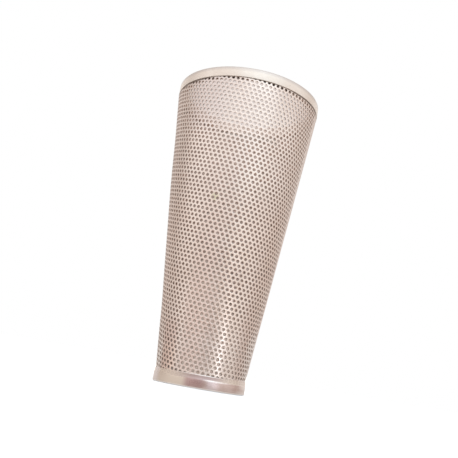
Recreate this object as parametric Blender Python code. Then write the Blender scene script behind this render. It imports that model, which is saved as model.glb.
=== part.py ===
"""Conical self-cleaning filter element.

A perforated steel sheet is rolled into a tapered tube and lined with wire cloth. A turned rim ring
closes off its wide upper end and a turned base ring its narrow lower end. Both ends are open.
Origin: centre of the base ring's foot. +Z runs up the axis, and the front faces -Y.
"""
import math

import bmesh
import bpy
from mathutils import Vector
from mathutils.geometry import delaunay_2d_cdt

# Overall sizes, in metres
OVERALL_HEIGHT = 0.263
RIM_OUTER_RADIUS = 0.065
BASE_OUTER_RADIUS = 0.0388

# Rim ring at the wide end
RIM_HEIGHT = 0.0094
RIM_EDGE_RADIUS = 0.0024
RIM_SPIGOT_DEPTH = 0.001
RIM_SPIGOT_WALL = 0.0026
RIM_MOUTH_CHAMFER = 0.0008

# Base ring at the narrow end
BASE_HEIGHT = 0.011
BASE_FLOOR = 0.003
BASE_BEVEL_HEIGHT = 0.0036
BASE_LIP_WALL = 0.0003
BASE_LEDGE = 0.0009
BASE_FOOT_CHAMFER = 0.0006

# Perforated sheet, and how far it stands back from the outer face of each ring
SHEET_THICKNESS = 0.0008
RIM_STEP = 0.0005
BASE_STEP = 0.0009

# Wire cloth lining
LINING_THICKNESS = 0.0008

# Clearances between pieces, and the wider one between the sheet and the lining
FIT_GAP = 0.0003
SKIN_GAP = 0.0007

# Perforation: round holes on a 60 degree stagger, drawn enlarged with the same open share
HOLE_DIAMETER = 0.0025
HOLE_PITCH = 0.004
PATTERN_SCALE = 4.3
HOLE_SIDES = 8
ROW_TILT = math.radians(-6.1)
WEB_AT_EDGE = 0.0015

# The plain border of the stock sheet, and the lengthwise weld where the blank's two edges meet
SEAM_AZIMUTH = math.radians(82.0)
BORDER_AZIMUTH = math.radians(71.0)
BEAD_HALF_WIDTH = 0.002
BEAD_HEIGHT = 0.0004

# Fineness of round shapes
ROUND_STEPS = 64
EDGE_STEPS = 4
SUPPORT_SPACING = 0.009

# Heights and radii that follow from the sizes above
RIM_SEAT = OVERALL_HEIGHT - RIM_HEIGHT
SHEET_RIM_RADIUS = RIM_OUTER_RADIUS - RIM_STEP
SHEET_BASE_RADIUS = BASE_OUTER_RADIUS - BASE_STEP
TAPER = (SHEET_RIM_RADIUS - SHEET_BASE_RADIUS) / (RIM_SEAT - BASE_HEIGHT)
HALF_ANGLE = math.atan(TAPER)
SIN_HALF = math.sin(HALF_ANGLE)
COS_HALF = math.cos(HALF_ANGLE)
SHEET_WIDTH_ACROSS = SHEET_THICKNESS / COS_HALF
LINING_WIDTH_ACROSS = LINING_THICKNESS / COS_HALF
APEX_HEIGHT = BASE_HEIGHT - SHEET_BASE_RADIUS / TAPER


def sheet_radius(height):
    """Outer radius of the tapered sheet at a height above the foot."""
    return SHEET_BASE_RADIUS + TAPER * (height - BASE_HEIGHT)


def lining_radius(height):
    """Outer radius of the wire cloth lining at a height above the foot."""
    return sheet_radius(height) - SHEET_WIDTH_ACROSS - SKIN_GAP


def spigot_radius(height):
    """Outer radius of the rim ring's spigot, which reaches down inside the lining."""
    return lining_radius(height) - LINING_WIDTH_ACROSS - FIT_GAP


def remove_existing_objects():
    for obj in list(bpy.data.objects):
        bpy.data.objects.remove(obj, do_unlink=True)


def steel(name, color, roughness):
    """A stainless steel finish."""
    material = bpy.data.materials.new(name)
    material.use_nodes = True
    shader = material.node_tree.nodes["Principled BSDF"]
    shader.inputs["Base Color"].default_value = (*color, 1.0)
    shader.inputs["Metallic"].default_value = 0.9
    shader.inputs["Roughness"].default_value = roughness
    return material


def finished_object(name, mesh_builder, material, carrier):
    """Turn a finished bmesh into a named object with smooth round faces and sharp edges."""
    mesh = bpy.data.meshes.new(name)
    bmesh.ops.recalc_face_normals(mesh_builder, faces=mesh_builder.faces[:])
    mesh_builder.to_mesh(mesh)
    mesh_builder.free()
    mesh.shade_smooth()
    mesh.set_sharp_from_angle(angle=math.radians(32.0))
    mesh.materials.append(material)
    obj = bpy.data.objects.new(name, mesh)
    bpy.context.scene.collection.objects.link(obj)
    obj.parent = carrier
    return obj


def arc(center, radius, start, end):
    """Profile points along a fillet, from one angle to another."""
    points = []
    for step in range(EDGE_STEPS + 1):
        angle = start + (end - start) * step / EDGE_STEPS
        points.append((center[0] + radius * math.cos(angle), center[1] + radius * math.sin(angle)))
    return points


def turned(profile):
    """Spin a closed profile of (radius, height) points once round the axis."""
    bm = bmesh.new()
    verts = [bm.verts.new((radius, 0.0, height)) for radius, height in profile]
    edges = [bm.edges.new((verts[index - 1], verts[index])) for index in range(len(verts))]
    bmesh.ops.spin(
        bm,
        geom=verts + edges,
        cent=(0.0, 0.0, 0.0),
        axis=(0.0, 0.0, 1.0),
        angle=math.tau,
        steps=ROUND_STEPS,
        use_merge=True,
    )
    return bm


def rim_ring(carrier):
    """The upper ring: a band with a rounded top edge and a low spigot that centres the lining."""
    edge = min(RIM_EDGE_RADIUS, 0.4 * RIM_HEIGHT)
    bore = spigot_radius(RIM_SEAT - RIM_SPIGOT_DEPTH) - RIM_SPIGOT_WALL
    profile = arc((RIM_OUTER_RADIUS - edge, RIM_HEIGHT - edge), edge, math.radians(90.0), 0.0)
    profile += [
        (RIM_OUTER_RADIUS, 0.0),
        (spigot_radius(RIM_SEAT), 0.0),
        (spigot_radius(RIM_SEAT - RIM_SPIGOT_DEPTH), -RIM_SPIGOT_DEPTH),
        (bore, -RIM_SPIGOT_DEPTH),
        (bore, RIM_HEIGHT - RIM_MOUTH_CHAMFER),
        (bore + RIM_MOUTH_CHAMFER, RIM_HEIGHT),
    ]
    material = steel("rim_steel", (0.78, 0.70, 0.62), 0.42)
    obj = finished_object("rim_ring", turned(profile), material, carrier)
    obj.location.z = RIM_SEAT
    return obj


def base_ring(carrier):
    """The lower ring: a bevelled band with a socket for the sheet and a ledge under its end."""
    lip = sheet_radius(BASE_HEIGHT) + FIT_GAP
    socket_floor = sheet_radius(BASE_FLOOR) + FIT_GAP
    lining_inside = lining_radius(BASE_FLOOR) - LINING_WIDTH_ACROSS
    bore = lining_inside - BASE_LEDGE
    profile = [
        (lip + BASE_LIP_WALL, BASE_HEIGHT),
        (BASE_OUTER_RADIUS, BASE_HEIGHT - BASE_BEVEL_HEIGHT),
        (BASE_OUTER_RADIUS, BASE_FOOT_CHAMFER),
        (BASE_OUTER_RADIUS - BASE_FOOT_CHAMFER, 0.0),
        (bore + BASE_FOOT_CHAMFER, 0.0),
        (bore, BASE_FOOT_CHAMFER),
        (bore, BASE_FLOOR),
        (socket_floor, BASE_FLOOR),
        (lip, BASE_HEIGHT),
    ]
    material = steel("base_steel", (0.66, 0.56, 0.48), 0.25)
    return finished_object("base_ring", turned(profile), material, carrier)


def mesh_lining(carrier):
    """The wire cloth tube behind the sheet, from the base ring's ledge to the rim ring's face."""
    bottom = BASE_FLOOR + FIT_GAP
    top = RIM_SEAT - FIT_GAP
    profile = [
        (lining_radius(top), top),
        (lining_radius(bottom), bottom),
        (lining_radius(bottom) - LINING_WIDTH_ACROSS, bottom),
        (lining_radius(top) - LINING_WIDTH_ACROSS, top),
    ]
    material = steel("cloth_steel", (0.33, 0.27, 0.22), 0.6)
    return finished_object("mesh_lining", turned(profile), material, carrier)


def slant_at(height):
    """Distance from the cone's apex, along the sheet, to its outer skin at a height."""
    return sheet_radius(height) / SIN_HALF


def flat_point(azimuth, slant):
    """Place of a point on the flat blank, with the apex at the origin and the front along +Y."""
    angle = azimuth * SIN_HALF
    return Vector((slant * math.sin(angle), slant * math.cos(angle)))


def rolled_point(flat, depth):
    """Wrap a point of the flat blank round the cone. Depth goes in from the outer skin."""
    slant = math.hypot(flat.x, flat.y)
    azimuth = math.atan2(flat.x, flat.y) / SIN_HALF
    radius = slant * SIN_HALF - depth * COS_HALF
    height = APEX_HEIGHT + slant * COS_HALF + depth * SIN_HALF
    return Vector((radius * math.sin(azimuth), -radius * math.cos(azimuth), height))


class Blank:
    """The flat pattern of the sheet: a ring sector whose straight edges meet at the seam."""

    def __init__(self):
        self.bottom = slant_at(BASE_FLOOR + FIT_GAP)
        self.top = slant_at(RIM_SEAT - FIT_GAP - SHEET_THICKNESS * SIN_HALF)
        self.free = slant_at(BASE_HEIGHT + FIT_GAP)
        self.right = SEAM_AZIMUTH
        self.left = SEAM_AZIMUTH - math.tau
        self.pitch = HOLE_PITCH * PATTERN_SCALE
        open_radius = HOLE_DIAMETER * PATTERN_SCALE / 2
        corner = math.tau / HOLE_SIDES
        self.hole_radius = open_radius * math.sqrt(corner / math.sin(corner))

    def seam_slants(self):
        """Slants of the points along each seam edge. The first two lie inside the base ring."""
        steps = round((self.top - self.free) / SUPPORT_SPACING)
        stretch = self.top - self.free
        return [self.bottom] + [self.free + stretch * step / steps for step in range(steps + 1)]

    def bead_side(self, slant):
        """Angle from the seam to the side of its weld bead."""
        return BEAD_HALF_WIDTH / (slant * SIN_HALF)

    def outline(self):
        """Corner points of the sector, anticlockwise from the lower right corner."""
        slants = self.seam_slants()
        edge = [flat_point(self.right, slant) for slant in slants]
        edge += self.end_arc(self.top, -1)
        edge += [flat_point(self.left, slant) for slant in reversed(slants)]
        edge += self.end_arc(self.bottom, 1)
        return edge

    def end_arc(self, slant, direction):
        """Points of a round end between the seam's corners, with one at each side of the bead."""
        side = self.bead_side(slant)
        azimuths = [self.left + side]
        azimuths += [self.left + math.tau * step / ROUND_STEPS for step in range(1, ROUND_STEPS)]
        azimuths += [self.right - side]
        return [flat_point(azimuth, slant) for azimuth in azimuths[::direction]]

    def hole_centres(self):
        """Centres of the holes on the stagger that lie wholly inside the punched field."""
        row = self.pitch * Vector((math.cos(ROW_TILT), math.sin(ROW_TILT)))
        next_tilt = ROW_TILT + math.radians(60.0)
        next_row = self.pitch * Vector((math.cos(next_tilt), math.sin(next_tilt)))
        start = flat_point(0.0, (self.bottom + self.top) / 2)
        reach = math.ceil(2 * self.top / self.pitch)
        centres = []
        for along in range(-reach, reach + 1):
            for across in range(-reach, reach + 1):
                centre = start + along * row + across * next_row
                if self.is_punched(centre):
                    centres.append(centre)
        return centres

    def is_punched(self, centre):
        room = self.hole_radius + WEB_AT_EDGE
        slant = centre.length
        if not self.bottom + room < slant < self.top - room:
            return False
        angle = math.atan2(centre.x, centre.y)
        seam_room = room + BEAD_HALF_WIDTH
        if slant * math.sin(self.right * SIN_HALF - angle) < seam_room:
            return False
        if slant * math.sin(angle - self.left * SIN_HALF) < seam_room:
            return False
        border = flat_point(BORDER_AZIMUTH, self.top)
        row = Vector((math.cos(ROW_TILT), math.sin(ROW_TILT)))
        return (border - centre).dot(row) > self.hole_radius

    def hole_outline(self, centre):
        corners = []
        for side in range(HOLE_SIDES):
            angle = ROW_TILT + math.tau * (side + 0.5) / HOLE_SIDES
            corners.append(centre + self.hole_radius * Vector((math.cos(angle), math.sin(angle))))
        return corners

    def support_points(self, centres):
        """Points spread over the plain stretches, so that they stay round once rolled."""
        points = []
        for slant in self.seam_slants()[1:-1]:
            points.append(flat_point(self.right - self.bead_side(slant), slant))
            points.append(flat_point(self.left + self.bead_side(slant), slant))
            for step in range(1, ROUND_STEPS):
                point = flat_point(self.left + math.tau * step / ROUND_STEPS, slant)
                clear = 0.72 * self.pitch
                if all((point - centre).length > clear for centre in centres):
                    points.append(point)
        return points

    def plate(self):
        """The punched blank as a flat plate: outer skin at z = 0, inner skin one thickness up."""
        centres = self.hole_centres()
        loops = [self.outline()] + [self.hole_outline(centre) for centre in centres]
        points = []
        faces = []
        for loop in loops:
            faces.append(list(range(len(points), len(points) + len(loop))))
            points += loop
        points += self.support_points(centres)
        flat_points, _, triangles, _, _, sources = delaunay_2d_cdt(points, [], faces, 1, 1e-7)
        bm = bmesh.new()
        verts = [bm.verts.new((point.x, point.y, 0.0)) for point in flat_points]
        for triangle, source in zip(triangles, sources):
            if max(source) == 0:
                bm.faces.new([verts[index] for index in triangle])
        skin = bmesh.ops.extrude_face_region(bm, geom=bm.faces[:])
        raised = [item for item in skin["geom"] if isinstance(item, bmesh.types.BMVert)]
        bmesh.ops.translate(bm, verts=raised, vec=(0.0, 0.0, SHEET_THICKNESS))
        return bm

    def on_seam(self, vert):
        angle = math.atan2(vert.co.x, vert.co.y)
        nearest = min(abs(angle - self.left * SIN_HALF), abs(angle - self.right * SIN_HALF))
        return nearest * vert.co.xy.length < 1e-6


def perforated_cone(carrier):
    """The sheet: a punched blank, rolled into a cone and welded along its seam."""
    blank = Blank()
    bm = blank.plate()
    seam = {vert for vert in bm.verts if blank.on_seam(vert)}
    joined = [face for face in bm.faces if all(vert in seam for vert in face.verts)]
    bmesh.ops.delete(bm, geom=joined, context="FACES_ONLY")
    loose = [edge for edge in bm.edges if not edge.link_faces]
    bmesh.ops.delete(bm, geom=loose, context="EDGES")
    bead_start = blank.free + SUPPORT_SPACING / 2
    for vert in bm.verts:
        depth = vert.co.z
        if vert in seam and depth == 0.0 and vert.co.xy.length > bead_start:
            depth = -BEAD_HEIGHT
        vert.co = rolled_point(vert.co.xy, depth)
    bmesh.ops.remove_doubles(bm, verts=bm.verts[:], dist=1e-6)
    material = steel("sheet_steel", (0.80, 0.70, 0.62), 0.35)
    return finished_object("perforated_cone", bm, material, carrier)


def main():
    remove_existing_objects()
    carrier = bpy.data.objects.new("filter_element", None)
    bpy.context.scene.collection.objects.link(carrier)
    base_ring(carrier)
    mesh_lining(carrier)
    perforated_cone(carrier)
    rim_ring(carrier)


main()
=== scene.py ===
"""Looks of the conical filter element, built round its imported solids.

Metres throughout. +Z is up the axis from the narrow end, and the front faces -Y. An azimuth is the
angle round the axis from straight in front towards +X. A slant is the distance from the cone's apex
along the sheet, and a depth goes in from the sheet's outer skin.
"""
import math

import bmesh
import bpy
import numpy as np
from mathutils import Matrix, Vector
from mathutils.geometry import delaunay_2d_cdt
from mathutils.kdtree import KDTree


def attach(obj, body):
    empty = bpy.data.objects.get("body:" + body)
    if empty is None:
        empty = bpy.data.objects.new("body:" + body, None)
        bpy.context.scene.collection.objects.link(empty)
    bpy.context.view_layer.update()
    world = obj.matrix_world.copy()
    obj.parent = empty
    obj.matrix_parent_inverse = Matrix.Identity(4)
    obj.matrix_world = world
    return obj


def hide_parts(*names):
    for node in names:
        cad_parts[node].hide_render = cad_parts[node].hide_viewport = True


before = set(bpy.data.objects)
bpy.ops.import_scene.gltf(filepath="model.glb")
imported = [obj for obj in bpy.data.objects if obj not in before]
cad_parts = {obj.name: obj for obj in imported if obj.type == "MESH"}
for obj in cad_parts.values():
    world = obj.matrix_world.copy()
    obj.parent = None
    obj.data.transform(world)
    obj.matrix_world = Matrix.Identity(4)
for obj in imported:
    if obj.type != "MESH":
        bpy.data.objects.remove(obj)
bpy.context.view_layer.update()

# Sizes of the solids
OVERALL_HEIGHT = 0.263
RIM_RADIUS = 0.065
RIM_SEAT = 0.2536
RIM_BORE = 0.05885
BASE_RADIUS = 0.0388
BASE_HEIGHT = 0.011
BASE_FLOOR = 0.003
BASE_BORE = 0.03381
SHEET_THICKNESS = 0.0008
SHEET_RIM_RADIUS = 0.0645
SHEET_BASE_RADIUS = 0.0379
TAPER = (SHEET_RIM_RADIUS - SHEET_BASE_RADIUS) / (RIM_SEAT - BASE_HEIGHT)
HALF_ANGLE = math.atan(TAPER)
SIN_HALF = math.sin(HALF_ANGLE)
COS_HALF = math.cos(HALF_ANGLE)
APEX_HEIGHT = BASE_HEIGHT - SHEET_BASE_RADIUS / TAPER

# The sheet's real perforation, on the flat blank with the apex at the origin and the front up +Y
HOLE_DIAMETER = 0.0026
HOLE_SIDES = 7
LATTICE_START = np.array((0.0002599, 0.479746))
ALONG_ROW = np.array((0.004024, -0.0004305))
NEXT_ROW = np.array((0.0023923, 0.0032105))

# How many steps the stagger is laid out each way, and how far from the cone's middle, as a share of
# the way to its ends
LATTICE_REACH = 400
FURTHEST_SHARE = 1.2

# How far the holes stray along the slant, by the azimuth and by the share of the way from the
# cone's middle to its upper end
DRIFT_LINE = -0.000101
DRIFT_SQUARE = -0.0004342
DRIFT_CUBE = -0.0010996
DRIFT_TURN = 0.000343
DRIFT_BOW = -0.00074

# Each hole's corners are turned on from those of the hole before it, in a cycle
HOLE_TURN = 0.9
HOLE_TURNS = 7

# The sheet's ends, and the plain border at the lengthwise seam with the points that keep it round
SHEET_BOTTOM = 0.0034
SHEET_TOP = RIM_SEAT - 0.0001
SEAM_AZIMUTH = math.radians(82.0)
SEAM_CLEARANCE = 0.0042
BORDER_TOP_AZIMUTH = math.radians(72.3)
BORDER_ROWS = 70
BORDER_COLUMNS = 13
BORDER_SPACING = 0.02
BORDER_CLEARANCE = 0.0008
ARC_STEPS = 256
SEAM_STEPS = 60
SAME_PLACE = 1e-6
SMOOTH_ANGLE = 35.0

# The hand-rolled sheet is uneven between two heights. Most uneven is its left side, with a swell
# over a hollow, each given by its height, how far it stands out and its reach
UNEVEN_FROM = 0.02
UNEVEN_TO = 0.245
UNEVEN_FADE = 0.05
UNEVEN_SIDE = math.radians(-85.0)
SWELL = (0.165, 0.00045, 0.04)
HOLLOW = (0.065, -0.00035, 0.03)

# Wire cloth, close behind the sheet
CLOTH_GAP = 0.00006
CLOTH_THICKNESS = 0.0004
CLOTH_CLEAR_SHARE = 0.62
CLOTH_AROUND = 192
CLOTH_UP = 40
WEAVE_AROUND = 900.0
WEAVE_UP = 18000.0

# Weld bead over the seam. It fades in and out over a fortieth of its length, its edges sink a
# little into the sheet's skin and its root lies deeper
WELD_ROWS = 400
WELD_ACROSS = 10
WELD_HALF_WIDTH = 0.0019
WELD_RISE = 0.00042
WELD_SINK = 0.00003
WELD_ROOT = 0.0003
WELD_BOW = 0.0009
WELD_RIPPLES = 150.0
WELD_END_GAP = 0.0006
WELD_FADE = 1.0 / 40.0
WELD_SMOOTH_ANGLE = 50.0

# Rim band. It stands a hair to one side of the cone's axis, with a thin backing behind the joint
RIM_BAND_RADIUS = 0.06478
RIM_BAND_OFFSET = 0.00022
RIM_BAND_BOTTOM = RIM_SEAT + 0.0004
RIM_LOWER_EDGE = 0.0002
RIM_UPPER_EDGE = 0.0013
RIM_MOUTH_EDGE = 0.0006
GROOVE_DEPTH = 0.0005
JOINT_BOTTOM = RIM_SEAT - 0.0012
BACKING_WALL = 0.0004
BACKING_SLOPE = 0.0014
JOINT_GAP = 0.0001

# Foot band
FOOT_CREST = BASE_HEIGHT - 0.0036
FOOT_EDGE = 0.0009
FOOT_BORE_EDGE = 0.0006
FOOT_GAP = 0.00006

# Both rings
RING_STEPS = 192
RING_SMOOTH_ANGLE = 28.0


def sheet_radius(height):
    """Radius of the sheet's outer skin."""
    return SHEET_BASE_RADIUS + TAPER * (height - BASE_HEIGHT)


def slant_at(height):
    """Slant of the sheet's outer skin at a height."""
    return sheet_radius(height) / SIN_HALF


MIDDLE_SLANT = (slant_at(BASE_HEIGHT) + slant_at(RIM_SEAT)) / 2
HALF_SLANT = (slant_at(RIM_SEAT) - slant_at(BASE_HEIGHT)) / 2


def unevenness(azimuth, height):
    """How far the sheet stands off a true cone."""
    rise = np.clip((height - UNEVEN_FROM) / UNEVEN_FADE, 0.0, 1.0)
    rise = rise * np.clip((UNEVEN_TO - height) / UNEVEN_FADE, 0.0, 1.0)
    rise = rise * rise * (3.0 - 2.0 * rise)
    side = (0.5 + 0.5 * np.cos(azimuth - UNEVEN_SIDE)) ** 4
    swell = 0.0
    for middle, lift, reach in (SWELL, HOLLOW):
        swell = swell + lift * np.exp(-(((height - middle) / reach) ** 2))
    waves = 0.00010 * np.sin(3.0 * azimuth + 0.8) * np.sin(height * 42.0 + 1.0)
    waves += 0.00007 * np.sin(5.0 * azimuth - 31.0 * height)
    waves += 0.00005 * np.sin(9.0 * azimuth + 73.0 * height + 2.0)
    return rise * (side * swell + waves)


def flat_point(azimuth, slant):
    """A point of the flat blank."""
    angle = azimuth * SIN_HALF
    return (slant * math.sin(angle), slant * math.cos(angle))


def rolled(flat, depth):
    """Wrap points of the flat blank round the cone."""
    slant = np.hypot(flat[:, 0], flat[:, 1])
    azimuth = np.arctan2(flat[:, 0], flat[:, 1]) / SIN_HALF
    height = APEX_HEIGHT + slant * COS_HALF
    out = unevenness(azimuth, height) - depth
    radius = slant * SIN_HALF + out * COS_HALF
    height = height - out * SIN_HALF
    return np.column_stack((radius * np.sin(azimuth), -radius * np.cos(azimuth), height))


def new_object(name, verts, faces, smooth_angle=SMOOTH_ANGLE):
    """A mesh object that belongs to the part, smooth but for edges over an angle in degrees."""
    mesh = bpy.data.meshes.new(name)
    mesh.from_pydata([tuple(v) for v in verts], [], [tuple(f) for f in faces])
    mesh.validate()
    mesh.shade_smooth()
    mesh.set_sharp_from_angle(angle=math.radians(smooth_angle))
    obj = bpy.data.objects.new(name, mesh)
    bpy.context.scene.collection.objects.link(obj)
    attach(obj, "root")
    return obj


# Perforated sheet

def blank_outline(bottom, top):
    """The blank's edge, with points at the same slants on both sides of the seam."""
    right, left = SEAM_AZIMUTH, SEAM_AZIMUTH - math.tau
    slants = [top + (bottom - top) * step / SEAM_STEPS for step in range(1, SEAM_STEPS)]
    points = [flat_point(azimuth, top) for azimuth in np.linspace(right, left, ARC_STEPS + 1)]
    points += [flat_point(left, slant) for slant in slants]
    points += [flat_point(azimuth, bottom) for azimuth in np.linspace(left, right, ARC_STEPS + 1)]
    points += [flat_point(right, slant) for slant in reversed(slants)]
    return points


def hole_centres(top):
    """Centres of the stagger's holes, but for those in the plain border or behind the foot band."""
    right, left = SEAM_AZIMUTH * SIN_HALF, (SEAM_AZIMUTH - math.tau) * SIN_HALF
    row = ALONG_ROW / np.linalg.norm(ALONG_ROW)
    border = np.array(flat_point(BORDER_TOP_AZIMUTH, top))
    hidden = slant_at(BASE_HEIGHT) - HOLE_DIAMETER / 2
    centres = []
    for along in range(-LATTICE_REACH, LATTICE_REACH):
        for across in range(-LATTICE_REACH, LATTICE_REACH):
            centre = LATTICE_START + along * ALONG_ROW + across * NEXT_ROW
            slant = math.hypot(*centre)
            share = (slant - MIDDLE_SLANT) / HALF_SLANT
            if abs(share) > FURTHEST_SHARE:
                continue
            angle = math.atan2(centre[0], centre[1])
            azimuth = angle / SIN_HALF
            drifted = slant + share * (DRIFT_LINE + share * (DRIFT_SQUARE + share * DRIFT_CUBE))
            drifted += share * DRIFT_TURN * math.sin(azimuth) + DRIFT_BOW * (1.0 - math.cos(azimuth))
            if not hidden < drifted < top + HOLE_DIAMETER / 2:
                continue
            centre = centre * drifted / slant
            # on the right the rows end at a straight line square to them
            from_seam = drifted * math.sin(min(angle - left, right - angle))
            if from_seam >= SEAM_CLEARANCE and np.dot(border - centre, row) >= HOLE_DIAMETER / 2:
                centres.append(centre)
    return centres


def border_points(bottom, top, centres):
    """Points spread over the unpunched border, so that it stays round once rolled."""
    tree = KDTree(len(centres))
    for index, centre in enumerate(centres):
        tree.insert((centre[0], centre[1], 0.0), index)
    tree.balance()
    points = []
    for row in range(1, BORDER_ROWS):
        slant = bottom + (top - bottom) * row / BORDER_ROWS
        for column in range(1, BORDER_COLUMNS + 1):
            turn = column * BORDER_SPACING
            for azimuth in (SEAM_AZIMUTH - turn, SEAM_AZIMUTH - math.tau + turn):
                x, y = flat_point(azimuth, slant)
                if tree.find((x, y, 0.0))[2] > HOLE_DIAMETER / 2 + BORDER_CLEARANCE:
                    points.append(Vector((x, y)))
    return points


def punched_blank(bottom, top):
    """Points and triangles of the flat blank with its holes cut out, each as large as a round one."""
    corner = math.tau / HOLE_SIDES
    radius = HOLE_DIAMETER / 2 * math.sqrt(corner / math.sin(corner))
    centres = hole_centres(top)
    loops = [blank_outline(bottom, top)]
    for number, centre in enumerate(centres):
        turn = HOLE_TURN * (number % HOLE_TURNS)
        loops.append([
            (centre[0] + radius * math.cos(turn + corner * side),
             centre[1] + radius * math.sin(turn + corner * side))
            for side in range(HOLE_SIDES)])
    points, faces = [], []
    for loop in loops:
        faces.append(list(range(len(points), len(points) + len(loop))))
        points += [Vector(point) for point in loop]
    points += border_points(bottom, top, centres)
    flat, _, triangles, _, _, sources = delaunay_2d_cdt(points, [], faces, 1, 1e-7)
    # outside the holes a triangle comes from the blank's face alone
    triangles = np.array([tri for tri, source in zip(triangles, sources) if source == [0]])
    flat = np.array([(p.x, p.y) for p in flat])
    used, numbers = np.unique(triangles, return_inverse=True)
    flat, triangles = flat[used], numbers.reshape(triangles.shape)
    a, b, c = flat[triangles[:, 0]], flat[triangles[:, 1]], flat[triangles[:, 2]]
    area = (b[:, 0] - a[:, 0]) * (c[:, 1] - a[:, 1]) - (b[:, 1] - a[:, 1]) * (c[:, 0] - a[:, 0])
    triangles[area < 0] = triangles[area < 0][:, ::-1]
    return flat, triangles


def punched_sheet():
    """The rolled sheet, with walls in its holes and at its ends, and its seam closed."""
    flat, triangles = punched_blank(slant_at(SHEET_BOTTOM), slant_at(SHEET_TOP))
    edges = dict.fromkeys((tri[k], tri[(k + 1) % 3]) for tri in triangles for k in range(3))
    angle = np.arctan2(flat[:, 0], flat[:, 1])
    on_seam = np.minimum(abs(angle - SEAM_AZIMUTH * SIN_HALF),
                         abs(angle - (SEAM_AZIMUTH - math.tau) * SIN_HALF)) < SAME_PLACE
    count = len(flat)
    verts = np.vstack((rolled(flat, 0.0), rolled(flat, SHEET_THICKNESS)))
    faces = [tuple(tri) for tri in triangles]
    faces += [tuple(tri[::-1] + count) for tri in triangles]
    for first, second in edges:
        if (second, first) not in edges and not (on_seam[first] and on_seam[second]):
            faces.append((second, first, first + count, second + count))
    obj = new_object("punched_sheet", verts, faces)
    bm = bmesh.new()
    bm.from_mesh(obj.data)
    seam = [v for v in bm.verts if on_seam[v.index % count]]
    bmesh.ops.remove_doubles(bm, verts=seam, dist=SAME_PLACE)
    bm.to_mesh(obj.data)
    bm.free()
    obj.data.set_sharp_from_angle(angle=math.radians(SMOOTH_ANGLE))
    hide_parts("perforated_cone")
    return obj


def cloth_tube():
    """The wire cloth, a thin closed tube that lies close behind the sheet."""
    low, high = slant_at(SHEET_BOTTOM), slant_at(JOINT_BOTTOM - JOINT_GAP)
    flat = np.array([
        flat_point(math.tau * step / CLOTH_AROUND - math.pi, low + (high - low) * row / CLOTH_UP)
        for row in range(CLOTH_UP + 1) for step in range(CLOTH_AROUND)])
    near = SHEET_THICKNESS + CLOTH_GAP
    verts = np.vstack((rolled(flat, near), rolled(flat, near + CLOTH_THICKNESS)))
    inner = len(flat)
    top = CLOTH_UP * CLOTH_AROUND
    faces = []
    for step in range(CLOTH_AROUND):
        after = (step + 1) % CLOTH_AROUND
        for row in range(CLOTH_UP):
            a, b = row * CLOTH_AROUND + step, row * CLOTH_AROUND + after
            c, d = b + CLOTH_AROUND, a + CLOTH_AROUND
            faces.append((a, b, c, d))
            faces.append((a + inner, d + inner, c + inner, b + inner))
        faces.append((after, step, step + inner, after + inner))
        faces.append((top + step, top + after, top + after + inner, top + step + inner))
    obj = new_object("wire_cloth_tube", verts, faces)
    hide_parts("mesh_lining")
    return obj


def weld_point(slant, aside, along, depth):
    """A point that lies so far aside of the seam and along it from a slant."""
    azimuth = SEAM_AZIMUTH - math.tau + aside / (slant * SIN_HALF)
    return rolled(np.array([flat_point(azimuth, slant + along)]), depth)[0]


def seam_weld():
    """The rippled bead over the lengthwise seam, with its root inside the sheet."""
    low, high = slant_at(BASE_HEIGHT + WELD_END_GAP), slant_at(SHEET_TOP - WELD_END_GAP)
    verts, faces = [], []
    for row in range(WELD_ROWS + 1):
        share = row / WELD_ROWS
        slant = low + (high - low) * share
        ends = min(1.0, share / WELD_FADE, (1.0 - share) / WELD_FADE)
        ripple = 0.82 + 0.18 * abs(math.sin(share * WELD_RIPPLES * math.pi))
        drift = 0.00018 * math.sin(share * 23.0) + 0.0001 * math.sin(share * 61.0 + 1.0)
        wide = WELD_HALF_WIDTH * (0.55 + 0.45 * math.sqrt(ends)) * (0.94 + 0.06 * ripple)
        for k in range(WELD_ACROSS + 1):
            side = 2.0 * k / WELD_ACROSS - 1.0
            bow = WELD_BOW * (1.0 - abs(side)) * ends
            rise = WELD_RISE * ends * ripple * math.sqrt(max(0.0, 1.0 - side * side))
            verts.append(weld_point(slant, drift + wide * side, bow, WELD_SINK - rise))
        for side in (0.9, -0.9):
            verts.append(weld_point(slant, drift + wide * side, 0.0, WELD_ROOT))
    ring = WELD_ACROSS + 3
    for row in range(WELD_ROWS):
        for k in range(ring):
            a, b = row * ring + k, row * ring + (k + 1) % ring
            faces.append((a, b, b + ring, a + ring))
    faces.append(tuple(reversed(range(ring))))
    faces.append(tuple(range(WELD_ROWS * ring, WELD_ROWS * ring + ring)))
    return new_object("seam_weld", verts, faces, WELD_SMOOTH_ANGLE)


# Rings

def turned(name, profile, offset=0.0):
    """Spin a closed anticlockwise profile of (radius, height) points round the axis."""
    count = len(profile)
    verts, faces = [], []
    for step in range(RING_STEPS):
        angle = math.tau * step / RING_STEPS
        for radius, height in profile:
            verts.append((offset + radius * math.cos(angle), radius * math.sin(angle), height))
    for step in range(RING_STEPS):
        here, there = step * count, (step + 1) % RING_STEPS * count
        for k in range(count):
            after = (k + 1) % count
            faces.append((here + k, there + k, there + after, here + after))
    return new_object(name, verts, faces, RING_SMOOTH_ANGLE)


def rounded(radius, height, edge, start, steps):
    """A quarter turn in place of a profile's corner, anticlockwise from an angle in degrees."""
    middle = math.radians(start + 45.0)
    center = (radius - math.copysign(edge, math.cos(middle)),
              height - math.copysign(edge, math.sin(middle)))
    points = []
    for step in range(steps + 1):
        angle = math.radians(start + 90.0 * step / steps)
        points.append((center[0] + edge * math.cos(angle), center[1] + edge * math.sin(angle)))
    return points


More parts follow.
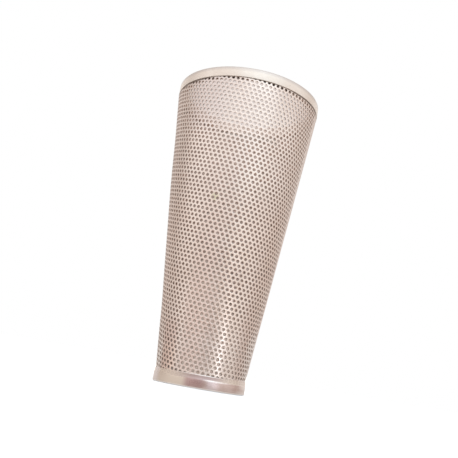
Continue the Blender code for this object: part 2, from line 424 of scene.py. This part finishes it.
def rim_band():
    """The upper ring, with a rounded outer edge and a fine groove over the sheet's end."""
    groove = sheet_radius(SHEET_TOP) - GROOVE_DEPTH - RIM_BAND_OFFSET
    behind = sheet_radius(JOINT_BOTTOM) - SHEET_THICKNESS - JOINT_GAP - RIM_BAND_OFFSET
    groove_floor = SHEET_TOP + JOINT_GAP / 2
    profile = rounded(RIM_BAND_RADIUS, RIM_BAND_BOTTOM, RIM_LOWER_EDGE, -90.0, 3)
    profile += rounded(RIM_BAND_RADIUS, OVERALL_HEIGHT, RIM_UPPER_EDGE, 0.0, 8)
    profile += rounded(RIM_BORE, OVERALL_HEIGHT, RIM_MOUTH_EDGE, 90.0, 4)
    profile += [
        (RIM_BORE, JOINT_BOTTOM + BACKING_SLOPE),
        (behind - BACKING_WALL, JOINT_BOTTOM + JOINT_GAP),
        (behind, JOINT_BOTTOM),
        (behind + JOINT_GAP, groove_floor),
        (groove, groove_floor),
        (groove, RIM_BAND_BOTTOM),
    ]
    obj = turned("rim_band", profile, RIM_BAND_OFFSET)
    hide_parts("rim_ring")
    return obj


def foot_band():
    """The lower ring: thin lip over the sheet, bevel, crest, plain band and rounded foot."""
    lip = sheet_radius(BASE_HEIGHT) + FOOT_GAP
    profile = rounded(BASE_BORE, 0.0, FOOT_BORE_EDGE, 180.0, 3)
    profile += rounded(BASE_RADIUS, 0.0, FOOT_EDGE, 270.0, 6)
    profile += [
        (BASE_RADIUS, FOOT_CREST - 0.0005),
        (BASE_RADIUS - 0.00004, FOOT_CREST - 0.0001),
        (BASE_RADIUS - 0.00014, FOOT_CREST + 0.0003),
        (lip + 0.0003, BASE_HEIGHT - 0.0003),
        (lip + 0.00022, BASE_HEIGHT - 0.00008),
        (lip + 0.0001, BASE_HEIGHT),
        (lip, BASE_HEIGHT),
        (sheet_radius(BASE_FLOOR) + FOOT_GAP, BASE_FLOOR),
        (BASE_BORE, BASE_FLOOR),
    ]
    obj = turned("foot_band", profile)
    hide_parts("base_ring")
    return obj


# Materials

class Nodes:
    """Shader nodes under construction, and where a point lies, as sockets."""

    def __init__(self, tree, coordinates):
        self.tree = tree
        self.position = self.add("TexCoord").outputs[coordinates]
        self.x, self.y, self.z = self.add("SeparateXYZ", self.position).outputs
        self.azimuth = self.math("ARCTAN2", self.x, self.math("MULTIPLY", self.y, -1.0))

    def link(self, value, socket):
        if isinstance(value, bpy.types.NodeSocket):
            self.tree.links.new(value, socket)
        else:
            socket.default_value = value

    def add(self, kind, *values, **settings):
        """A new node with some settings, and with its first inputs linked or set."""
        node = self.tree.nodes.new("ShaderNode" + kind)
        for name, setting in settings.items():
            setattr(node, name, setting)
        for value, socket in zip(values, node.inputs):
            self.link(value, socket)
        return node

    def math(self, operation, *values):
        return self.add("Math", *values, operation=operation).outputs[0]

    def product(self, first, *others):
        for other in others:
            first = self.math("MULTIPLY", first, other)
        return first

    def dot(self, first, second):
        """Dot product of two pairs of values."""
        (a, b), (c, d) = first, second
        return self.math("ADD", self.math("MULTIPLY", a, c), self.math("MULTIPLY", b, d))

    def vector(self, x, y, z):
        return self.add("CombineXYZ", x, y, z).outputs[0]

    def span(self, value, low, high, to_low=0.0, to_high=1.0):
        """A smooth step of a value from one range to another."""
        node = self.add("MapRange", value, low, high, to_low, to_high, interpolation_type="SMOOTHSTEP")
        return node.outputs[0]

    def between(self, value, first, full, fading, last):
        """Full between the two inner values, and fading smoothly to nothing at the outer two."""
        return self.math("MULTIPLY", self.span(value, first, full), self.span(value, last, fading))

    def azimuth_span(self, low, high, to_low=0.0, to_high=1.0):
        """A smooth step of the azimuth, which is given in degrees."""
        return self.span(self.azimuth, math.radians(low), math.radians(high), to_low, to_high)

    def sector(self, first, full, fading, last):
        """The same as between, for the azimuth in degrees."""
        return self.math("MULTIPLY", self.azimuth_span(first, full), self.azimuth_span(last, fading))

    def mix(self, share, first, second):
        """From a first tone to a second. A tone is a socket or a colour's three numbers."""
        node = self.add("Mix", data_type="RGBA")
        self.link(share, node.inputs["Factor"])
        for tone, socket in ((first, node.inputs[6]), (second, node.inputs[7])):
            self.link((*tone, 1.0) if isinstance(tone, tuple) else tone, socket)
        return node.outputs[2]

    def layer(self, color, tone, *shares):
        """Lay a tone over a colour, by the product of the shares."""
        return self.mix(self.product(*shares), color, tone)


class Look(Nodes):
    """A material under construction."""

    def __init__(self, name):
        self.material = bpy.data.materials.new(name)
        self.material.use_nodes = True
        super().__init__(self.material.node_tree, "Object")
        self.shader = self.tree.nodes["Principled BSDF"]
        self.radius = self.math("SQRT", self.dot((self.x, self.y), (self.x, self.y)))

    def set(self, name, value):
        self.link(value, self.shader.inputs[name])

    def noise(self, vector, scale, detail, rough):
        node = self.add("TexNoise", vector)
        for name, value in (("Scale", scale), ("Detail", detail), ("Roughness", rough)):
            node.inputs[name].default_value = value
        return node.outputs[0]

    def bump(self, height, distance):
        node = self.add("Bump")
        node.inputs["Distance"].default_value = distance
        self.link(height, node.inputs["Height"])
        self.set("Normal", node.outputs[0])

    def tool_marks(self, around, across):
        """Marks of the lathe: long round the axis, and fine across it."""
        place = self.vector(self.product(self.azimuth, around), self.product(self.radius, across),
                            self.product(self.z, across))
        return self.noise(place, 1.0, 3.0, 0.6)

    def film(self):
        """How much of a warm film lies on the cone's lower half."""
        return self.between(self.z, 0.028, 0.060, 0.120, 0.185)

    def blank(self):
        """Where a point lies on the flat blank, as two sockets, and its slant."""
        slant = self.math("DIVIDE", self.math("SUBTRACT", self.z, APEX_HEIGHT), COS_HALF)
        angle = self.math("MULTIPLY", self.azimuth, SIN_HALF)
        across = self.math("MULTIPLY", slant, self.math("SINE", angle))
        up = self.math("MULTIPLY", slant, self.math("COSINE", angle))
        return across, up, slant

    def hole_offset(self):
        """Distance to the nearest hole centre of the stagger, and how far over it a point is."""
        across, up, slant = self.blank()
        share = self.math("DIVIDE", self.math("SUBTRACT", slant, MIDDLE_SLANT), HALF_SLANT)
        drift = self.math("MULTIPLY_ADD", self.math("SINE", self.azimuth), DRIFT_TURN, DRIFT_LINE)
        curve = self.math("MULTIPLY_ADD", share, DRIFT_CUBE, DRIFT_SQUARE)
        drift = self.math("MULTIPLY_ADD", share, curve, drift)
        bow = self.math("MULTIPLY_ADD", self.math("COSINE", self.azimuth), -DRIFT_BOW, DRIFT_BOW)
        drift = self.math("MULTIPLY_ADD", share, drift, bow)
        undrifted = self.math("DIVIDE", self.math("SUBTRACT", slant, drift), slant)
        place = [self.math("SUBTRACT", self.math("MULTIPLY", value, undrifted), start)
                 for value, start in zip((across, up), LATTICE_START.tolist())]
        lattice = np.column_stack((ALONG_ROW, NEXT_ROW))
        rest = []
        for line in np.linalg.inv(lattice).tolist():
            steps = self.dot(place, line)
            rest.append(self.math("SUBTRACT", steps, self.math("ROUND", steps)))
        away = [self.dot(rest, line) for line in lattice.tolist()]
        angle = self.math("MULTIPLY", self.azimuth, SIN_HALF)
        over = self.dot(away, (self.math("SINE", angle), self.math("COSINE", angle)))
        return self.math("SQRT", self.dot(away, away)), over


def sheet_tones(look, clouds, patches, grain):
    """Cloudy steel with pale patches, dark specks and grain, under a warm film."""
    specks = look.noise(look.position, 900.0, 2.0, 0.5)
    color = look.mix(look.span(clouds, 0.35, 0.68), (0.87, 0.77, 0.71), (0.81, 0.70, 0.64))
    color = look.layer(color, (0.90, 0.81, 0.76), look.span(patches, 0.45, 0.75, 0.0, 0.5))
    color = look.layer(color, (0.58, 0.48, 0.43), look.span(specks, 0.58, 0.75, 0.0, 0.2))
    color = look.layer(color, (0.64, 0.55, 0.50), look.span(grain, 0.3, 0.7, 0.0, 0.12))
    return look.layer(color, (0.82, 0.58, 0.46), look.film(), 0.16)


def sheet_tarnish(look, color):
    """A warm tarnish low on the left, darker higher up, and other uneven tones."""
    tarnish = look.mix(look.span(look.z, 0.040, 0.024), (0.70, 0.49, 0.42), (0.90, 0.66, 0.54))
    color = look.layer(color, tarnish, look.sector(-64.0, -54.0, -40.0, -30.0),
                       look.span(look.z, 0.056, 0.044), 0.5)
    # both low edges lighter
    left = look.product(look.sector(-80.0, -68.0, -67.0, -57.0), look.span(look.z, 0.036, 0.022))
    right = look.product(look.sector(50.0, 62.0, 80.0, 90.0), look.span(look.z, 0.058, 0.038))
    color = look.layer(color, (1.0, 0.95, 0.91), look.math("ADD", left, right), 0.85)
    # a duller patch right of the middle
    color = look.layer(color, (0.64, 0.52, 0.46), look.sector(11.0, 17.0, 23.0, 29.0),
                       look.between(look.z, 0.078, 0.088, 0.094, 0.104), 0.5)
    # duller and a little lilac high on the left
    return look.layer(color, (0.66, 0.575, 0.57), look.span(look.z, 0.198, 0.224),
                      look.sector(-60.0, -42.0, -24.0, -6.0), 0.45)


def sheet_stain(look, color, patches):
    """A small greenish stain with a ragged edge."""
    azimuth, height = math.radians(-14.6), 0.1515
    radius = sheet_radius(height)
    spot = (radius * math.sin(azimuth), -radius * math.cos(azimuth), height)
    aside = look.add("VectorMath", look.position, spot, operation="DISTANCE").outputs["Value"]
    ragged = look.math("MULTIPLY_ADD", look.math("SUBTRACT", patches, 0.5), 0.004, aside)
    return look.layer(color, (0.60, 0.60, 0.36), look.span(ragged, 0.0048, 0.0012, 0.0, 0.5))


def joint_scorch_and_shadow(look):
    """How dark the sheet is along its joint with the rim ring, most at the two sides: weld scorch with a
    painted shadow under the ring.
    """
    left, right = look.azimuth_span(-26.0, -42.0), look.azimuth_span(24.0, 42.0)
    reach = look.dot((left, right), (0.0009, 0.0004))
    line = look.span(look.math("ADD", look.z, reach), SHEET_TOP - 0.0006, SHEET_TOP - 0.0002)
    return look.product(line, look.span(look.math("ADD", left, right), 0.0, 1.0, 0.5, 0.9))


def hole_wall(look):
    """Where the surface turns in from the cone's skin, as in the holes' walls."""
    normal = look.add("NewGeometry").outputs["True Normal"]
    outward = look.vector(look.x, look.y, look.product(look.radius, -TAPER))
    outward = look.add("VectorMath", outward, operation="NORMALIZE").outputs["Vector"]
    facing = look.add("VectorMath", normal, outward, operation="DOT_PRODUCT").outputs["Value"]
    return look.span(look.math("ABSOLUTE", facing), 0.75, 0.45)


def sheet_look():
    """Satin perforated steel. The punch rolled the holes' edges in and tore their walls."""
    look = Look("sheet_look")
    across, up, _ = look.blank()
    clouds = look.noise(look.position, 22.0, 3.0, 0.55)
    patches = look.noise(look.position, 95.0, 3.0, 0.6)
    grain = look.vector(look.product(across, 60.0), look.product(up, 4200.0), 0.0)
    grain = look.noise(grain, 1.0, 3.0, 0.6)
    away, over = look.hole_offset()
    edge = look.span(away, HOLE_DIAMETER / 2 + 0.00050, HOLE_DIAMETER / 2 + 0.00005)
    wall = hole_wall(look)
    color = sheet_tones(look, clouds, patches, grain)
    color = sheet_tarnish(look, color)
    color = sheet_stain(look, color, patches)
    # painted shadow under the rim ring along the sheet's top edge, with weld scorch
    color = look.layer(color, (0.14, 0.105, 0.085), joint_scorch_and_shadow(look))
    # painted highlight along the rolled-in lower edge of each hole, and painted shade along its upper edge
    color = look.layer(color, (1.0, 0.94, 0.90), edge, look.span(over, -0.0003, -0.0012, 0.0, 0.4))
    color = look.layer(color, (0.62, 0.52, 0.46), edge, look.span(over, 0.0004, 0.0012, 0.0, 0.3))
    look.set("Base Color", look.layer(color, (0.52, 0.41, 0.35), wall))
    rough = look.math("ADD", look.span(clouds, 0.3, 0.7, 0.27, 0.35),
                      look.span(patches, 0.3, 0.7, -0.03, 0.04))
    look.set("Roughness", look.math("MULTIPLY_ADD", wall, 0.25, rough))
    look.set("Metallic", look.span(wall, 0.0, 1.0, 0.85, 0.5))
    look.set("Specular Tint", (0.70, 0.67, 0.66, 1.0))
    look.set("Anisotropic", 0.6)
    look.set("Anisotropic Rotation", 0.25)
    look.set("Tangent", look.add("Tangent", direction_type="RADIAL", axis="Z").outputs[0])
    height = look.span(away, HOLE_DIAMETER / 2, HOLE_DIAMETER / 2 + 0.00035)
    height = look.math("MULTIPLY_ADD", grain, 0.10, height)
    look.bump(look.math("MULTIPLY_ADD", patches, 0.6, height), 0.00006)
    return look.material


def cloth_zones(look):
    """Three parts of the cloth painted paler, as painted light: low on the cone, in front, and along a line
    near the mouth.
    """
    # the low part ends at a line that climbs to the left
    climb = look.math("SUBTRACT", look.z, look.azimuth_span(24.0, -4.0, -0.016, 0.020))
    low = look.product(look.span(climb, 0.095, 0.05), look.sector(-42.0, -26.0, 44.0, 64.0))
    front = look.sector(-38.0, -22.0, 8.0, 22.0)
    # behind this line lies the rim ring's shaded underside, and the cloth is painted paler along it
    line = look.math("SUBTRACT", look.z, look.azimuth_span(-15.0, 10.0, 0.0, 0.0035))
    line = look.product(look.between(line, 0.1985, 0.2015, 0.2040, 0.2070),
                        look.sector(-24.0, -13.0, 27.0, 36.0))
    return low, front, line


def cloth_tones(look, weave, low, front, line):
    """Wires with a warm film, painted paler and warmer low down and in front, and paler along the line, as
    painted light.
    """
    clouds = look.noise(look.position, 120.0, 2.0, 0.5)
    color = look.mix(look.span(weave, -0.6, 0.6), (0.82, 0.672, 0.59), (0.93, 0.79, 0.705))
    color = look.layer(color, (0.78, 0.62, 0.54), look.span(clouds, 0.35, 0.7, 0.0, 0.35))
    color = look.layer(color, (1.0, 0.85, 0.77), low)
    color = look.layer(color, (0.84, 0.58, 0.43), look.film(), 0.25)
    color = look.layer(color, (1.0, 0.86, 0.77), front, 0.5)
    color = look.layer(color, (1.0, 0.93, 0.88), line, 0.8)
    # painted shadow of each hole's upper edge on the cloth, less where the cloth is paler
    _, over = look.hole_offset()
    paler = look.math("MAXIMUM", front, look.span(look.z, 0.195, 0.22))
    return look.layer(color, (0.36, 0.28, 0.23), look.span(over, -0.0004, 0.0013, 0.0, 0.6),
                      look.span(low, 0.0, 1.0, 1.0, 0.5), look.span(paler, 0.0, 1.0, 1.0, 0.75),
                      look.span(line, 0.0, 1.0, 1.0, 0.4))


def cloth_look():
    """Fine woven wire: two sets of wires over and under each other, part see-through."""
    look = Look("wire_cloth_look")
    weave = look.product(look.math("SINE", look.product(look.azimuth, WEAVE_AROUND)),
                         look.math("SINE", look.product(look.z, WEAVE_UP)))
    low, front, line = cloth_zones(look)
    look.set("Base Color", cloth_tones(look, weave, low, front, line))
    look.set("Roughness", 0.55)
    look.set("Metallic", 0.25)
    look.bump(weave, 0.00008)
    # the cloth is less see-through low down and along the line, so that more of its painted light shows
    clear_share = look.math("ADD", look.span(look.z, 0.190, 0.215, 0.0, 0.10),
                            look.span(low, 0.0, 1.0, CLOTH_CLEAR_SHARE, 0.16))
    clear_share = look.math("MULTIPLY_ADD", line, -0.3, clear_share)
    clear = look.add("BsdfTransparent", (1.0, 0.965, 0.955, 1.0))
    mixed = look.add("MixShader", clear_share, look.shader.outputs[0], clear.outputs[0])
    look.link(mixed.outputs[0], look.tree.nodes["Material Output"].inputs["Surface"])
    return look.material


def backing_shade(look):
    """How much painted shade lies on the ring behind the joint, which is less low on the right flank."""
    behind = look.product(look.span(look.z, RIM_BAND_BOTTOM, RIM_BAND_BOTTOM - 0.0002),
                          look.span(look.radius, RIM_RADIUS - 0.0036, RIM_RADIUS - 0.0028))
    full = look.math("MAXIMUM", look.span(look.z, SHEET_TOP - 0.0001, SHEET_TOP),
                     look.azimuth_span(44.0, 30.0))
    return look.product(behind, look.span(full, 0.0, 1.0, 0.35, 1.0))


def rim_look():
    """Turned satin steel; painted shade on its upper edge, its front and behind the joint, painted light in
    its bore.
    """
    look = Look("rim_look")
    marks = look.tool_marks(1.2, 5200.0)
    clouds = look.noise(look.position, 45.0, 3.0, 0.55)
    nicks = look.noise(look.position, 420.0, 2.0, 0.6)
    color = look.mix(look.span(clouds, 0.35, 0.7), (0.84, 0.765, 0.70), (0.79, 0.70, 0.63))
    color = look.layer(color, (0.66, 0.58, 0.52), look.span(marks, 0.35, 0.7, 0.0, 0.2))
    color = look.layer(color, (0.55, 0.48, 0.42), look.span(nicks, 0.66, 0.76, 0.0, 0.4))
    # painted shade on the front of the band
    color = look.layer(color, (0.74, 0.68, 0.62), look.sector(-18.0, -2.0, 18.0, 34.0), 0.5)
    # painted shade along the rounded upper edge
    edge = look.span(look.z, OVERALL_HEIGHT - 0.0042, OVERALL_HEIGHT - 0.0008)
    color = look.layer(color, (0.56, 0.51, 0.49), edge, 0.75)
    # painted shade: the ring behind the joint is darkened near black, where its underside lies in shade
    shaded_backing = backing_shade(look)
    color = look.layer(color, (0.07, 0.05, 0.04), shaded_backing)
    # painted light: the bore is painted paler and less metallic, so that it reads lighter where shade falls
    # inside
    bore = look.span(look.radius, RIM_BORE + 0.0008, RIM_BORE + 0.0002)
    look.set("Base Color", look.layer(color, (0.95, 0.86, 0.80), bore, 0.8))
    rough = look.math("ADD", look.span(clouds, 0.3, 0.7, 0.33, 0.42),
                      look.span(marks, 0.3, 0.7, -0.04, 0.05))
    look.set("Roughness", look.math("MULTIPLY_ADD", shaded_backing, 0.3, rough))
    look.set("Metallic", look.product(look.span(shaded_backing, 0.0, 1.0, 0.8, 0.1),
                                      look.span(bore, 0.0, 1.0, 1.0, 0.3)))
    look.bump(look.math("MULTIPLY_ADD", nicks, 0.5, marks), 0.00004)
    return look.material


def foot_band_tones(look, clouds, bevel, dull, right):
    """Tones of the plain band and the bevel over it, from the dull left to the pale far right, with a
    painted dark reflection and painted highlight on the band in front.
    """
    color = look.mix(look.span(clouds, 0.35, 0.7), (0.65, 0.515, 0.475), (0.57, 0.44, 0.40))
    color = look.layer(color, (0.76, 0.66, 0.58), bevel, right)
    color = look.layer(color, (0.88, 0.80, 0.76), look.azimuth_span(48.0, 64.0, 0.0, 0.7))
    color = look.layer(color, (0.74, 0.64, 0.55), dull)
    below = look.math("SUBTRACT", 1.0, bevel)
    # painted reflection: a dark patch on the band in front, and a lighter lavender highlight to its right
    color = look.layer(color, (0.50, 0.35, 0.33), look.sector(-22.0, -12.0, 1.0, 9.0), below)
    color = look.layer(color, (0.64, 0.53, 0.53), look.sector(6.0, 13.0, 14.0, 30.0), below)
    return look.layer(color, (0.84, 0.77, 0.76), look.azimuth_span(-54.0, -66.0, 0.0, 0.8))


def foot_bevel_tones(look, color):
    """A painted dark reflection on the bevel in front, with a painted highlight along the crest under it
    and the lip over it.
    """
    reflection_side = look.sector(-50.0, 0.0, 4.0, 46.0)
    lowered = look.math("SUBTRACT", look.z, look.azimuth_span(2.0, 12.0, -0.0005, 0.0003))
    # painted reflection: the bevel darkened in front, darker higher up
    stain = look.mix(look.span(look.z, FOOT_CREST + 0.0006, FOOT_CREST + 0.0020),
                     (0.43, 0.32, 0.31), (0.31, 0.22, 0.205))
    color = look.layer(color, stain, reflection_side, look.span(lowered, FOOT_CREST, FOOT_CREST + 0.0006), 0.9)
    # painted highlights along the crest and the lip
    crest = look.between(look.z, FOOT_CREST - 0.0009, FOOT_CREST - 0.0002,
                         FOOT_CREST + 0.0002, FOOT_CREST + 0.0008)
    crest = look.product(crest, look.sector(2.0, 14.0, 26.0, 42.0), 0.8)
    lip = look.span(look.z, BASE_HEIGHT - 0.0007, BASE_HEIGHT - 0.0003)
    lip = look.product(lip, reflection_side, 0.8)
    return look.layer(color, (0.98, 0.92, 0.89), look.math("MAXIMUM", crest, lip))


def foot_look():
    """Turned and polished in front and on the right, dull on the left where it was blended."""
    look = Look("foot_look")
    marks = look.tool_marks(1.5, 4800.0)
    clouds = look.noise(look.position, 70.0, 3.0, 0.6)
    wave = look.product(look.math("SUBTRACT", clouds, 0.5), 0.4)
    ragged = look.math("ADD", look.azimuth, wave)
    dull = look.span(ragged, math.radians(-7.0), math.radians(-24.0))
    right = look.span(ragged, math.radians(16.0), math.radians(34.0))
    bevel = look.span(look.z, FOOT_CREST - 0.0004, FOOT_CREST + 0.0004)
    color = foot_band_tones(look, clouds, bevel, dull, right)
    color = foot_bevel_tones(look, color)
    color = look.layer(color, (0.45, 0.36, 0.32), look.span(marks, 0.35, 0.7, 0.0, 0.15))
    # on both sides a row of covered holes shows faintly through the ring's upper part
    away, _ = look.hole_offset()
    bottom = look.math("MULTIPLY_ADD", wave, 0.006, BASE_HEIGHT - 0.0060)
    ghost = look.product(look.between(away, 0.0005, 0.0011, 0.0012, 0.0015),
                         look.span(look.z, bottom, BASE_HEIGHT - 0.0030),
                         look.math("MAXIMUM", dull, right))
    color = look.layer(color, (0.42, 0.33, 0.28), ghost, 0.5)
    # painted reflection of the pale floor, lighter on the rounded foot at the bottom
    look.set("Base Color", look.layer(color, (0.90, 0.85, 0.82), look.span(look.z, 0.0013, 0.0006)))
    rough = look.math("MULTIPLY_ADD", dull, 0.20, look.span(clouds, 0.3, 0.7, 0.20, 0.26))
    look.set("Roughness", look.math("MULTIPLY_ADD", look.product(bevel, right), 0.2, rough))
    look.set("Metallic", 0.95)
    height = look.math("SUBTRACT", look.product(marks, 0.5), ghost)
    look.bump(look.math("ADD", height, clouds), 0.00004)
    return look.material


def dress(obj, material):
    """Give an object one material."""
    obj.data.materials.clear()
    obj.data.materials.append(material)


steel = sheet_look()
dress(punched_sheet(), steel)
dress(seam_weld(), steel)
dress(cloth_tube(), cloth_look())
dress(rim_band(), rim_look())
dress(foot_band(), foot_look())


# Floor, light and camera

FLOOR_RADIUS = 30.0
FLOOR_HEIGHT = -0.0002
FLOOR_LEVEL = 0.4
STRIP_LEVEL = 2.9
STUDIO_LEVEL = 1.15

# Tone of the studio by the azimuth in degrees
STUDIO_TONES = (
    (-180.0, (0.90, 0.88, 0.86)),
    (-140.0, (0.86, 0.82, 0.79)),
    (-112.0, (0.56, 0.50, 0.46)),
    (-80.0, (0.93, 0.89, 0.87)),
    (-50.0, (1.00, 0.99, 0.98)),
    (-15.0, (1.06, 1.08, 1.09)),
    (20.0, (1.05, 1.09, 1.11)),
    (70.0, (0.94, 0.92, 0.91)),
    (115.0, (0.69, 0.63, 0.59)),
    (145.0, (0.86, 0.82, 0.79)),
    (180.0, (0.90, 0.88, 0.86)),
)

# The key lamp, a large soft one in front and to the right
KEY_PLACE = (0.4, -1.3, 1.1)
KEY_TARGET = (0.0, 0.0, 0.14)
KEY_SIZE = (1.4, 1.0)
KEY_WATTS = 1.5
KEY_COLOR = (1.0, 0.98, 0.95)

# The camera, fitted to the outline in the photograph: it looks up and is tilted to one side
CAMERA_PLACE = (0.002506, -0.528135, 0.015293)
CAMERA_FORWARD = (0.0, 0.97367, 0.22796)
CAMERA_RIGHT = (0.98499, -0.03935, 0.16807)
CAMERA_LENS = 47.943
CAMERA_SENSOR = 36.0


def floor_tones(look, glossy):
    """Pale, but for the dimmer and warmer zones that only glossy metal sees."""
    away = look.radius
    reach = look.product(look.span(away, 0.05, 0.11), look.span(away, 0.50, 0.22, 0.55, 1.0))
    middle = look.mix(look.azimuth_span(-14.0, 8.0), (0.68, 0.53, 0.50), (0.41, 0.31, 0.29))
    front, beside = look.sector(-66.0, -46.0, 14.0, 24.0), look.sector(14.0, 24.0, 50.0, 66.0)
    right, left = look.sector(66.0, 80.0, 120.0, 145.0), look.sector(-130.0, -108.0, -80.0, -64.0)
    far = look.product(look.sector(2.0, 12.0, 42.0, 58.0), look.span(away, 0.30, 0.42))
    color = look.layer((0.82, 0.81, 0.79), middle, front, reach, glossy)
    color = look.layer(color, (0.66, 0.58, 0.53), beside, reach, glossy)
    color = look.layer(color, (0.48, 0.36, 0.32), right, reach, glossy)
    color = look.layer(color, (0.42, 0.32, 0.30), left, reach, look.span(away, 0.32, 0.20), glossy)
    return look.layer(color, (0.72, 0.61, 0.51), far, glossy)


def floor_strip(look):
    """A lit strip in front and to the right, with a faint wide glow near the object."""
    away = look.radius
    strip = look.product(look.sector(29.0, 33.5, 34.5, 39.0), look.between(away, 0.06, 0.10, 0.26, 0.37))
    glow = look.product(look.sector(14.0, 24.0, 40.0, 54.0), look.between(away, 0.08, 0.11, 0.14, 0.24))
    return look.math("MULTIPLY_ADD", glow, 0.15, strip)


def stage_floor():
    """A wide floor, brightened a little for the camera, on which glossy metal sees a lit strip."""
    mesh = bpy.data.meshes.new("floor")
    bm = bmesh.new()
    bmesh.ops.create_circle(bm, cap_ends=True, segments=96, radius=FLOOR_RADIUS)
    bm.to_mesh(mesh)
    bm.free()
    obj = bpy.data.objects.new("floor", mesh)
    bpy.context.scene.collection.objects.link(obj)
    obj.location.z = FLOOR_HEIGHT
    look = Look("floor_look")
    path = look.add("LightPath").outputs
    glossy = path["Is Glossy Ray"]
    look.set("Base Color", floor_tones(look, glossy))
    look.set("Roughness", 0.9)
    look.set("Emission Color", look.mix(look.span(look.radius, 0.22, 0.40), (0.92, 1.03, 1.14),
                                        (1.02, 0.94, 0.85)))
    lit = look.product(floor_strip(look), glossy, STRIP_LEVEL)
    look.set("Emission Strength", look.math("MULTIPLY_ADD", path["Is Camera Ray"], FLOOR_LEVEL, lit))
    mesh.materials.append(look.material)


def studio_ramp(studio):
    """The studio's tone round the horizon."""
    ramp = studio.add("ValToRGB", studio.math("MULTIPLY_ADD", studio.azimuth, 1.0 / math.tau, 0.5))
    ramp.color_ramp.interpolation = "EASE"
    elements = ramp.color_ramp.elements
    while len(elements) < len(STUDIO_TONES):
        elements.new(0.5)
    for element, (angle, color) in zip(elements, STUDIO_TONES):
        element.position = (angle + 180.0) / 360.0
        element.color = (*color, 1.0)
    return ramp.outputs[0]


def stage_world():
    """White to the camera. To the object, a studio with darker sides and a cool window above."""
    world = bpy.data.worlds.new("studio")
    bpy.context.scene.world = world
    world.use_nodes = True
    studio = Nodes(world.node_tree, "Generated")
    rise = studio.z
    tone = studio.layer(studio_ramp(studio), (0.36, 0.27, 0.25), studio.span(rise, 0.12, 0.03),
                        studio.sector(-66.0, -46.0, 14.0, 24.0), studio.azimuth_span(-26.0, -8.0, 0.6, 1.0))
    tone = studio.layer(tone, (1.06, 1.17, 1.24), studio.span(rise, 0.10, 0.18),
                        studio.sector(-12.0, 10.0, 36.0, 56.0))
    back = studio.tree.nodes["Background"]
    studio.link(tone, back.inputs["Color"])
    back.inputs["Strength"].default_value = STUDIO_LEVEL
    white = studio.add("Background", (1.0, 1.0, 1.0, 1.0), 1.0)
    seen = studio.add("LightPath").outputs["Is Camera Ray"]
    mixed = studio.add("MixShader", seen, back.outputs[0], white.outputs[0])
    studio.link(mixed.outputs[0], studio.tree.nodes["World Output"].inputs["Surface"])


def stage_light():
    """The key lamp."""
    light = bpy.data.lights.new("key", "AREA")
    light.shape = "RECTANGLE"
    light.size, light.size_y = KEY_SIZE
    light.energy = KEY_WATTS
    light.color = KEY_COLOR
    obj = bpy.data.objects.new("key", light)
    obj.location = KEY_PLACE
    aim = Vector(KEY_TARGET) - Vector(KEY_PLACE)
    obj.rotation_euler = aim.to_track_quat("-Z", "Y").to_euler()
    bpy.context.scene.collection.objects.link(obj)


def stage_camera():
    """The photograph's camera."""
    data = bpy.data.cameras.new("camera")
    data.sensor_width = CAMERA_SENSOR
    data.lens = CAMERA_LENS
    data.clip_start = 0.01
    data.clip_end = 100.0
    forward = Vector(CAMERA_FORWARD).normalized()
    right = Vector(CAMERA_RIGHT)
    right = (right - right.dot(forward) * forward).normalized()
    turn = Matrix((right, right.cross(forward), -forward)).transposed()
    obj = bpy.data.objects.new("camera", data)
    obj.matrix_world = Matrix.Translation(CAMERA_PLACE) @ turn.to_4x4()
    bpy.context.scene.collection.objects.link(obj)
    bpy.context.scene.camera = obj


stage_floor()
stage_world()
stage_light()
stage_camera()
bpy.context.scene.view_settings.view_transform = "Standard"
